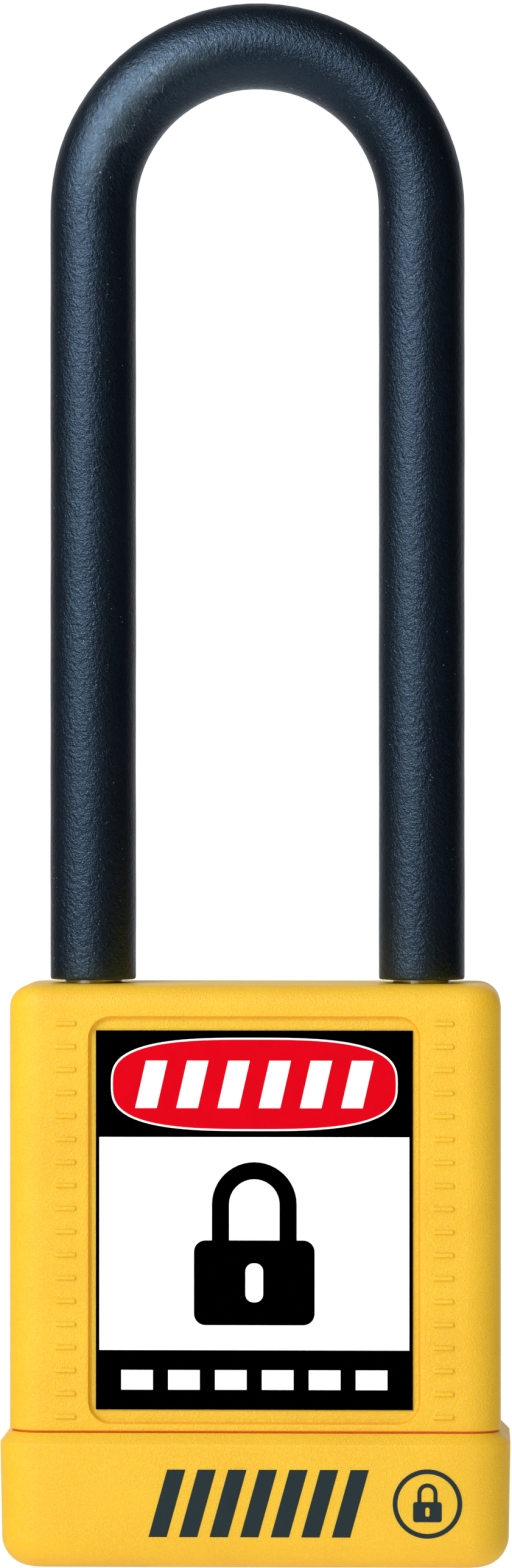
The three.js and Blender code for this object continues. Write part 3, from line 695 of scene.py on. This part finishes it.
# ------------------ flat printed shapes


def bar(x, z, width, height, slant=0.0):
    """A bar centred at x, z, whose top leans to the right of its foot by slant."""
    lean = slant / 2
    return [
        (x - width / 2 - lean, z - height / 2),
        (x + width / 2 - lean, z - height / 2),
        (x + width / 2 + lean, z + height / 2),
        (x - width / 2 + lean, z + height / 2),
    ]


def rounded_bar(x, z, width, height, corner, steps=8):
    outline = []
    for sx, sz, start in ((1, -1, -90), (1, 1, 0), (-1, 1, 90), (-1, -1, 180)):
        for i in range(steps + 1):
            a = math.radians(start + 90 * i / steps)
            px = x + sx * (width / 2 - corner) + corner * math.cos(a)
            outline.append((px, z + sz * (height / 2 - corner) + corner * math.sin(a)))
    return outline


def squared_oval(x, z, width, height, power=3.0, steps=120):
    """An oval with full shoulders."""
    outline = []
    for i in range(steps):
        a = 2 * math.pi * i / steps
        c, s = math.cos(a), math.sin(a)
        px = x + width / 2 * math.copysign(abs(c) ** (2 / power), c)
        outline.append((px, z + height / 2 * math.copysign(abs(s) ** (2 / power), s)))
    return outline


def arch(x, z, radius, thick, leg, steps=24):
    """A shackle's shape: a half ring standing on two legs."""
    angles = [math.pi * i / steps for i in range(steps + 1)]
    outer = [(x + radius * math.cos(a), z + radius * math.sin(a)) for a in angles]
    small = radius - thick
    inner = [(x + small * math.cos(a), z + small * math.sin(a)) for a in angles[::-1]]
    feet = [(x - radius, z - leg), (x - small, z - leg)]
    return [*outer, *feet, *inner, (x + small, z - leg), (x + radius, z - leg)]


def padlock_sign(x, z, size):
    """A plain padlock pictogram: its shackle, its body and the keyhole in the body."""
    body_height = size * 0.52
    body_z = z - size / 2 + body_height / 2
    radius, thick = size * 0.26, size * 0.105
    leg = size - body_height - radius
    shackle = arch(x, z + size / 2 - radius, radius, thick, leg + 0.01 * size)
    body = rounded_bar(x, body_z, size * 0.74, body_height, size * 0.07)
    keyhole = rounded_bar(x, body_z, size * 0.11, size * 0.24, size * 0.05)
    return [(body, keyhole), (shackle, None)]


def print_mesh(shapes, face_y, top):
    """Flat shapes, each with an optional hole, raised to a top level over a face."""
    bm = bmesh.new()
    for outline, hole in shapes:
        outlines = [outline, hole] if hole else [outline]
        levels = []
        for level in (-INK / 2, top):
            levels.append([ring_of(bm, [(x, face_y(z, level), z) for x, z in o]) for o in outlines])
            fill_between(bm, *levels[-1])
        for lower, upper in zip(*levels):
            bridge(bm, lower, upper)
    return bm


def label_prints(sign, name):
    """One label: a sheet with layers of ink on it. sign is -1 in front and 1 at the back."""
    width, height = LABEL.width, LABEL.height
    bottom, top = LABEL.z - height / 2, LABEL.z + height / 2
    field_low, field_high = bottom + height * 0.157, top - height * 0.281
    field_z, head_z = (field_low + field_high) / 2, top - height * 0.142

    def face_y(z, level):
        return sign * (LABEL.face + level)

    def layer(part, shapes, level, material):
        shapes = [s if isinstance(s, tuple) else (s, None) for s in shapes]
        piece(f"{name}_{part}", print_mesh(shapes, face_y, level * INK), material, "case", "label")

    back, front = sorted((sign * (LABEL.face - 0.08), sign * LABEL.face))
    sheet = box((-width / 2, back, bottom), (width / 2, front, top))
    piece(f"{name}_sheet", sheet, INK_BLACK, "case", "label", name)
    layer("field", [bar(0, field_z, width * 0.978, field_high - field_low)], 1, INK_WHITE)
    dash_z, dash = (bottom + field_low) / 2, (width * 0.1, height * 0.052)
    layer("dashes", [bar(x, dash_z, *dash) for x in row_of(6, width * 0.148)], 1, INK_WHITE)
    if sign < 0:
        layer("head_rim", [squared_oval(0, head_z, width * 0.905, height * 0.246)], 1, INK_WHITE)
        layer("head", [squared_oval(0, head_z, width * 0.893, height * 0.236)], 2, INK_RED)
        slanted = (width * 0.068, height * 0.125, width * 0.034)
        bars = [bar(x, head_z, *slanted) for x in row_of(6, width * 0.13)]
        layer("head_bars", bars, 3, INK_WHITE)
        layer("padlock_sign", padlock_sign(0, field_z, height * 0.43), 2, INK_BLACK)
    else:
        layer("head", [rounded_bar(0, head_z, width * 0.893, height * 0.2, 1.6)], 1, INK_RED)
        rules = [bar(0, field_z + z, width * 0.86, 0.22) for z in row_of(5, height * 0.094)]
        layer("rules", rules, 2, INK_BLACK)


def cap_prints():
    """Slanted stripes and a ringed padlock pictogram, printed on the front of the cap."""
    middle, height = 5.7, 5.75

    def face_y(z, level):
        return -(CAP.depth / 2 - cap_lean(z) - 0.008 + level)

    stripes = [(bar(0.4 + x, middle, 1.55, height, 1.6), None) for x in row_of(7, 2.6)]
    piece("cap_stripes", print_mesh(stripes, face_y, INK), INK_SLATE, "case", "cover")
    sign_x = 14.75
    ring = (circle(2.95, 64, sign_x, middle), circle(2.55, 64, sign_x, middle))
    marks = [ring, *padlock_sign(sign_x, middle + 0.1, 3.3)]
    piece("cap_sign", print_mesh(marks, face_y, INK), INK_SLATE, "case", "cover")


# ------------------ shackle


def shackle_rows(heel, toe, spacing):
    """Stations of (x, z, angle, radius) down the shackle, from (z, radius) lists for its legs."""
    rows = [(LEG_X, z, 0.0, r) for z, r in heel]
    steps = round(math.pi * LEG_X / spacing)
    for i in range(steps + 1):
        a = math.pi * i / steps
        rows.append((LEG_X * math.cos(a), BOW_Z + LEG_X * math.sin(a), a, heel[-1][1]))
    rows += [(-LEG_X, z, math.pi, r) for z, r in toe[::-1]]
    return rows


def sweep_rows(bm, rows, sides, wave=None):
    """Rings of a round section swept along the shackle's stations."""
    rings = []
    for index, (x, z, a, radius) in enumerate(rows):
        ring = []
        for angle in np.linspace(0, 2 * math.pi, sides, endpoint=False):
            reach = radius + (wave(index, angle) if wave else 0)
            out = reach * math.cos(angle)
            ring.append((x + out * math.cos(a), reach * math.sin(angle), z + out * math.sin(a)))
        rings.append(ring_of(bm, ring))
    bridge_all(bm, rings)
    return rings


def coating_mesh():
    """The dipped coating: slightly uneven along its length, with a rough cut at each end."""
    bm = bmesh.new()
    sides, spacing, low, drop = 72, 1.1, COAT_LOW[2], 0.3
    height, room = 0.006, 0.03  # of each swell, and what keeps them all inside the CAD box
    steps = round((BOW_Z - low - drop) / spacing)
    leg = [(z, COAT) for z in np.linspace(low + drop, BOW_Z, steps, endpoint=False)]

    def wave(index, angle):
        s = index * spacing
        swell = math.sin(0.31 * s + 2 * angle) + math.sin(0.83 * s - 3 * angle + 1)
        return height * (swell + math.sin(0.17 * s + angle)) - room

    outer = sweep_rows(bm, shackle_rows(leg, leg, spacing), sides, wave)
    lining = [(z, CORE + 0.06) for z, _ in leg]
    inner = sweep_rows(bm, shackle_rows(lining, lining, spacing), sides)
    for outside, inside, x in ((outer[0], inner[0], LEG_X), (outer[-1], inner[-1], -LEG_X)):
        rings = [outside]
        for shrink, down in ((0.02, 0.6), (0.1, 0.9), (0.26, 1.0)):
            ring = []
            for i, vert in enumerate(outside):
                angle = 2 * math.pi * i / sides
                rough = math.sin(5 * angle + x) + math.sin(13 * angle) + math.sin(29 * angle)
                scale = 1 - shrink / COAT
                z = low + drop * (1 - down) + 0.02 * down * max(0, rough)
                ring.append((x + (vert.co.x - x) * scale, vert.co.y * scale, z))
            rings.append(ring_of(bm, ring))
        rings.append(ring_of(bm, [(v.co.x, v.co.y, low + 0.02) for v in inside]))
        bridge_all(bm, [*rings, inside])
    return bm


def core_mesh():
    """The steel bar: a chamfered end on each leg, the heel's neck and a notch for each ball."""
    foot, edge = FOOT_CHAMFER, NECK.edge
    heel = [(HEEL_END, CORE - foot), (HEEL_END + foot, CORE)]
    heel += [(NECK.low - edge, CORE), (NECK.low, CORE - edge), (NECK.low, NECK.radius)]
    heel += [(NECK.high, NECK.radius), (NECK.high, CORE - edge), (NECK.high + edge, CORE)]
    toe = [(TOE_END, CORE - foot), (TOE_END + foot, CORE)]
    bm = bmesh.new()
    close_ends(bm, sweep_rows(bm, shackle_rows(heel, toe, 1.6), 64))
    radius = BALL.radius + 0.15
    tools = []
    for side in (-1, 1):
        tool = turned(cylinder(radius, -5, 5, 96), 90, "X")
        tools.append(placed(tool, side * NOTCH_X, z=BALL.z))
    return cut(bm, *tools, bevel=0.08)


def wire_mesh(points, radius, sides=14):
    """A round wire along a path, with flat ends, and frames carried along without twist."""
    points = [Vector(p) for p in points]
    bm = bmesh.new()
    side = Vector((0, 0, 1))
    rings = []
    for i, point in enumerate(points):
        ahead = (points[min(i + 1, len(points) - 1)] - points[max(i - 1, 0)]).normalized()
        side = (side - ahead * side.dot(ahead)).normalized()
        other = ahead.cross(side)
        spots = circle(radius, sides)
        rings.append(ring_of(bm, [point + side * u + other * v for u, v in spots]))
    bridge_all(bm, rings)
    close_ends(bm, rings)
    return bm


def coil_mesh(spring, length, steps=30):
    """A compression spring from z = 0 to length, with its end turns closed."""
    wire, turns = spring.wire, spring.turns
    closed_pitch = 2.1 * wire
    free = length - 2 * wire - 2 * closed_pitch
    points = []
    for i in range(turns * steps + 1):
        at = i / steps
        opened = min(max((at - 1) / (turns - 2), 0), 1)
        closed = min(at, 1) + max(at - turns + 1, 0)
        a = 2 * math.pi * at
        z = wire + closed_pitch * closed + free * opened
        points.append((spring.radius * math.cos(a), spring.radius * math.sin(a), z))
    return wire_mesh(points, wire)


# ------------------ lock body and its works


def lock_body_mesh():
    corner, chamfer = 2.0, 0.6
    width, depth = BODY_HIGH[0] - BODY_LOW[0], BODY_HIGH[1] - BODY_LOW[1]
    outline = perimeter(width, depth, corner, np.array([-15.0, 0, 15.0]), 2, 10)[0]
    block = prism(outline, BODY_LOW[2], BODY_HIGH[2], chamfer)
    barrel_top, above, slack = 28.9, 60, 0.15
    lobe = BARREL.lobe + slack
    across = turned(cylinder(BORE.ball, -30, LEG_X), 90, "Y")
    pin_hole = turned(cylinder(BORE.pin, -20, 20, 32), 90, "X")
    return cut(
        block,
        placed(cylinder(BORE.leg, SPRING.low - 0.05, above), LEG_X),
        placed(cylinder(BORE.leg, TOE_FLOOR, above), -LEG_X),
        placed(cylinder(BORE.screw, 20, SCREW.top), -SCREW.x),
        cylinder(BORE.cylinder, 0, barrel_top, 96),
        cylinder(BORE.cam, barrel_top - 0.95, CAM.high + 0.25, 96),
        box((-BARREL.lobe_end - slack, -lobe, 0), (0, lobe, HOUSING_HIGH[2] + slack)),
        placed(across, z=BALL.z),
        placed(pin_hole, RETAINER.x, z=RETAINER.z),
        bevel=0.1,
    )


def bevelled_rod(radius, low, high, bevel, sides=48):
    profile = [(0, low), (radius - bevel, low), (radius, low + bevel)]
    return lathe([*profile, (radius, high - bevel), (radius - bevel, high), (0, high)], sides)


def ball_mesh():
    """A hardened ball, with the narrow flat band that rolling in its bore has worn on it."""
    radius, band = BALL.radius, 0.12
    profile = []
    for i in range(33):
        a = math.pi * (i / 32 - 0.5)
        reach = min(radius * math.cos(a), radius - 0.004 if abs(a) < band else radius)
        profile.append((max(reach, 0), radius * math.sin(a)))
    return lathe(profile, 64)


def cam_reach(angle):
    """How far the cam reaches at an angle: an even rise over a quarter turn, then a fall."""
    half = angle % math.pi
    rising = min(half / (math.pi / 2), 1)
    falling = 1 - smoothstep(math.radians(105), math.radians(150), half)
    return CAM.pocket + CAM.rise * min(rising, falling)


def actuator_mesh():
    steps = 180
    outline = []
    for i in range(steps):
        a = 2 * math.pi * i / steps
        outline.append((cam_reach(a) * math.cos(a), cam_reach(a) * math.sin(a)))
    drum = cylinder(CAM.pocket + CAM.rise, CAM.drum_low, CAM.low, 96)
    slot = TONGUE.slot / 2
    return cut(
        join(drum, prism(outline, CAM.low - 1, CAM.high, 0.15)),
        box((-slot, -20, CAM.drum_low - 1), (slot, 20, TONGUE.top + 0.25)),
        cylinder(1.6, CAM.high - 1.2, CAM.high + 1, 48),
        bevel=0.12,
    )


# ------------------ cylinder


def pin_heights():
    return [PIN.first + PIN.pitch * i for i in range(len(KEY_PIN_LENGTHS))]


def outward_bore(radius, start, end, z):
    """A round tool from -start to -end along X, in the direction of the pin line."""
    return placed(turned(cylinder(radius, start, end, 32), -90, "Y"), z=z)


def housing_mesh():
    low, high, lobe = HOUSING_LOW[2], HOUSING_HIGH[2], BARREL.lobe
    end = lobe - BARREL.lobe_end
    body = join(
        cylinder(BARREL.radius, low, high, 96),
        box((end, -lobe, low), (0, lobe, high)),
        placed(cylinder(lobe, low, high, 64), end),
    )
    near, far, half = STRIP.near, STRIP.near + STRIP.thick, STRIP.half
    return cut(
        body,
        cylinder(BARREL.bore, 0, 40, 96),
        cylinder(COUNTERBORE.radius, 0, COUNTERBORE.top, 96),
        *(outward_bore(PIN.chamber, 0, 20, z) for z in pin_heights()),
        box((-far - 0.06, -half - 0.06, 0), (-near + 0.06, half + 0.06, STRIP.high + 0.06)),
        placed(cylinder(SCREW.shank + 0.04, SCREW.low - 0.15, 40, 32), -SCREW.x),
        bevel=0.08,
    )


def keyway_outline():
    """The keyway in section. The pins come in from -X, and a ward juts in from each side."""
    return [
        (-3.7, -0.95), (-0.9, -0.95), (-0.5, -0.35), (0.8, -0.35), (1.2, -1.1),
        (4.1, -1.1), (4.1, 0.55), (1.7, 0.55), (1.3, 0.95), (-3.7, 0.95),
    ]


def plug_mesh():
    """The plug, with its pin line towards -Y, as it stands when released."""
    face = PLUG_LOW[2]
    profile = [
        (0, face + 0.12), (3.2, face + 0.12), (4.6, face), (5.0, face), (5.27, face + 0.08),
        (5.4, face + 0.3), (5.4, 3.4), (4.75, 3.4), (4.75, 27.15), (3.3, 27.15), (3.3, 27.95),
        (4.2, 27.95), (4.2, 28.9), (0, 28.9),
    ]
    half, width = TONGUE.half, TONGUE.width / 2
    blank = join(lathe(profile, 96), box((-half, -width, 28), (half, width, TONGUE.top)))
    keyway = prism(keyway_outline(), 0, pin_heights()[-1] + 2 * PIN.radius)
    chambers = [outward_bore(PIN.chamber, -2.2, 6, z) for z in pin_heights()]
    return turned(cut(blank, keyway, *chambers, bevel=0.09), 90, "Z")


def clip_mesh():
    mouth, steps = CLIP.mouth, 48
    angles = np.linspace(mouth, 2 * math.pi - mouth, steps)
    outer = [(CLIP.outer * math.cos(a), CLIP.outer * math.sin(a)) for a in angles]
    inner = [(CLIP.inner * math.cos(a), CLIP.inner * math.sin(a)) for a in angles[::-1]]
    clip = prism(outer + inner, CLIP.low, CLIP.low + CLIP.thick, 0.05)
    return turned(clip, 90, "Z")


def screw_mesh():
    """A cap screw with rolled thread rings and a hexagon socket."""
    shank, head, pitch, depth = SCREW.shank, SCREW.head, 0.45, 0.16
    profile = [(0, SCREW.low), (shank - 0.4, SCREW.low)]
    rings = int((SCREW.under_head - SCREW.low - 3) / pitch)
    for i in range(rings):
        z = SCREW.low + 0.4 + pitch * i
        profile += [(shank - depth, z), (shank, z + pitch / 2)]
    profile += [(shank, SCREW.under_head), (head, SCREW.under_head), (head, SCREW.top - 0.3)]
    profile += [(head - 0.1, SCREW.top - 0.08), (head - 0.35, SCREW.top), (0, SCREW.top)]
    return cut(lathe(profile, 48), cylinder(1.0, SCREW.top - 1.2, SCREW.top + 1, 6))


def key_pin_mesh(length):
    radius, bevel = PIN.radius, PIN.bevel
    profile = [(0, 0), (0.35, 0.02), (0.5, 0.08), (radius - 0.06, 0.74), (radius, 0.86)]
    return lathe([*profile, (radius, length - bevel), (radius - bevel, length), (0, length)], 40)


def driver_pin_mesh():
    """A spool pin: the same bevelled flange at each end of a narrower waist."""
    radius, length = PIN.radius, DRIVER.length
    half = [(0, 0), (radius - 0.2, 0), (radius - 0.05, 0.06)]
    half += [(radius, 0.2), (radius, 0.8), (radius - 0.35, 1.1)]
    return lathe(half + [(r, length - z) for r, z in half[::-1]], 40)


# ------------------ putting the pieces in place


def build_case():
    piece("cover_shell", cover_mesh(), YELLOW, "case", "cover", "cover_sleeve")
    piece("cap_shell", cap_mesh(), YELLOW, "case", "cover", "base_cap")
    cap_prints()
    label_prints(-1, "front_label")
    label_prints(1, "rear_label")


def build_shackle():
    piece("shackle_bar", core_mesh(), STEEL, "shackle", "steel", "shackle_core")
    piece("shackle_skin", coating_mesh(), COATING, "shackle", "coating", "shackle_coating")
    coil = placed(coil_mesh(SPRING, SPRING.high - SPRING.low), LEG_X, z=SPRING.low)
    spring = piece("lift_spring", coil, SPRING_STEEL, None, "spring_steel", "shackle_spring")
    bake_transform(spring)


def build_works():
    piece("lock_block", lock_body_mesh(), ALUMINIUM, "case", "aluminium", "lock_body")
    pin = bevelled_rod(RETAINER.radius, -RETAINER.half, RETAINER.half, 0.3)
    placed(turned(pin, 90, "X"), RETAINER.x, z=RETAINER.z)
    piece("retaining_pin", pin, STEEL, "case", "steel", "heel_retaining_pin")
    for side, name in ((1, "heel"), (-1, "toe")):
        ball = placed(ball_mesh(), side * BALL_HOME, z=BALL.z)
        piece(f"{name}_ball", ball, STEEL, f"{name}_locking_ball", "steel", f"{name}_locking_ball")
    piece("cam_drum", actuator_mesh(), ZINC, "actuator", "zinc_alloy", "actuator")


def build_cylinder():
    piece("cylinder_barrel", housing_mesh(), BRASS, "case", "brass", "cylinder_housing")
    near, far, half = -STRIP.near, -STRIP.near - STRIP.thick, STRIP.half
    strip = cut(box((far, -half, STRIP.low), (near, half, STRIP.high)), bevel=0.12)
    piece("chamber_cover", strip, BRASS, "case", "brass", "chamber_strip")
    screw = placed(screw_mesh(), -SCREW.x)
    piece("barrel_screw", screw, TURNED_STEEL, "case", "steel", "cylinder_screw")
    piece("key_plug", plug_mesh(), TURNED_BRASS, "plug", "brass", "plug")
    piece("tail_clip", clip_mesh(), SPRING_STEEL, "plug", "spring_steel", "plug_clip")
    start, length = -DRIVER.start, DRIVER.length
    spring_start = start - length - 0.05
    for i, (z, key_length) in enumerate(zip(pin_heights(), KEY_PIN_LENGTHS), start=1):
        key_pin = turned(key_pin_mesh(key_length), 90, "X")
        placed(key_pin, y=key_length - PIN.shear, z=z)
        piece(f"bottom_pin_{i}", key_pin, BRASS, f"key_pin_{i}", "brass", f"key_pin_{i}")
        driver = placed(turned(driver_pin_mesh(), -90, "Y"), start, z=z)
        piece(f"top_pin_{i}", driver, BRASS, f"driver_pin_{i}", "brass", f"driver_pin_{i}")
        coil = coil_mesh(PIN_SPRING, spring_start + PIN_SPRING.end, 24)
        placed(turned(coil, -90, "Y"), spring_start, z=z)
        spring = piece(f"top_spring_{i}", coil, SPRING_STEEL, None, "spring_steel", f"pin_spring_{i}")
        ends = [(x * MM, 0, z * MM) for x in (-PIN_SPRING.end, spring_start)]
        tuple(ends[0])
        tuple(ends[1])
        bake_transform(spring)


# ------------------ camera, stage and lights

CENTRE = Vector((-0.00012, 0, 0.06688))
CAMERA_PLACE = Vector((0.018, -0.62, 0.06688))
VIEW_HEIGHT = 0.1355  # of the view at the shackle, in metres
CAMERA_RAY, GLOSSY_RAY = "Is Camera Ray", "Is Glossy Ray"
ROOM_WHITE = 1.1  # how bright the room and the floor look to the camera


def aim(made, place, target):
    made.location = place
    made.rotation_euler = (Vector(target) - Vector(place)).to_track_quat("-Z", "Y").to_euler()
    bpy.context.scene.collection.objects.link(made)


def make_camera():
    camera = bpy.data.cameras.new("camera")
    camera.sensor_width = 36
    camera.lens = camera.sensor_width * -CAMERA_PLACE.y / VIEW_HEIGHT
    camera.clip_start = 0.01
    camera.clip_end = 60
    made = bpy.data.objects.new("camera", camera)
    aim(made, CAMERA_PLACE, CENTRE)
    bpy.context.scene.camera = made


def make_light(name, place, target, size, power, spread=180, colour=(1, 1, 1)):
    """A soft box. Its size is in metres, its power in watts and its spread in degrees."""
    light = bpy.data.lights.new(name, "AREA")
    light.shape = "RECTANGLE"
    light.size, light.size_y = size
    light.energy = power
    light.spread = math.radians(spread)
    light.color = colour
    aim(bpy.data.objects.new(name, light), place, target)


def make_lights():
    """A large key light on the upper left, and a narrow warm one for the bow's bright spot."""
    make_light("key", (-0.32, -0.47, 0.385), (0, 0, 0.075), (0.32, 0.30), 3.28)
    place, target, warm = (-0.084, -0.335, 0.199), (-0.0115, 0, 0.126), (1, 0.86, 0.68)
    make_light("bow", place, target, (0.012, 0.012), 0.0006, 3.6, warm)


def make_floor():
    """A plain pale floor. It is clear from below, so that the underside can be seen."""
    material, nodes, _ = new_material(
        "floor",
        Base_Color=(0.85, 0.85, 0.85, 1),
        Roughness=0.9,
        Emission_Color=(1, 1, 1, 1),
        Emission_Strength=0.48,
    )
    tree = material.node_tree
    white = nodes.add("ShaderNodeEmission", {"Strength": ROOM_WHITE})
    clear = nodes.add("ShaderNodeBsdfTransparent")
    behind = nodes.add("ShaderNodeNewGeometry", output="Backfacing")
    blend = nodes.by_ray(CAMERA_RAY, tree.nodes["Principled BSDF"].outputs[0], white)
    blend = nodes.add("ShaderNodeMixShader", {0: behind, 1: blend, 2: clear})
    tree.links.new(blend, tree.nodes["Material Output"].inputs["Surface"])
    half, z = 12.0, -0.0001
    corners = [(-half, -half, z), (half, -half, z), (half, half, z), (-half, half, z)]
    mesh = bpy.data.meshes.new("floor")
    mesh.from_pydata(corners, [], [(0, 1, 2, 3)])
    mesh.materials.append(material)
    floor = bpy.data.objects.new("floor", mesh)
    bpy.context.scene.collection.objects.link(floor)
    floor.visible_glossy = False


def make_world():
    """A white room for the camera, an even fill, and for gloss a light wall behind the object."""
    world = bpy.data.worlds.new("studio")
    bpy.context.scene.world = world
    world.use_nodes = True
    nodes = Nodes(world.node_tree)
    way = nodes.add("ShaderNodeTexCoord", output="Generated")
    right, back, up = (nodes.add("ShaderNodeSeparateXYZ", {0: way}, i) for i in "XYZ")
    left = nodes.math("MULTIPLY", right, -1)

    def glow(strength):
        return nodes.add("ShaderNodeBackground", {"Color": (1, 1, 1, 1), "Strength": strength})

    gloss = nodes.spread(back, 0.65, 0.97, 0.0, 1.0)
    gloss = nodes.math("ADD", gloss, nodes.spread(left, 0.4, 0.9, 0, 0.03))
    gloss = nodes.math("ADD", gloss, nodes.spread(up, -0.3, -0.9, 0, 0.5))
    even = nodes.spread(left, -0.6, 0.2, 0.04, 0.3)
    even = nodes.math("ADD", even, nodes.spread(up, 0.3, 1.0, 0.0, 0.9))
    blend = nodes.by_ray(GLOSSY_RAY, glow(even), glow(gloss))
    blend = nodes.by_ray(CAMERA_RAY, blend, glow(ROOM_WHITE))
    world.node_tree.links.new(blend, world.node_tree.nodes["World Output"].inputs["Surface"])


make_camera()
build_case()
build_shackle()
build_works()
build_cylinder()
make_floor()
make_world()
make_lights()
bpy.context.scene.view_settings.view_transform = "Standard"
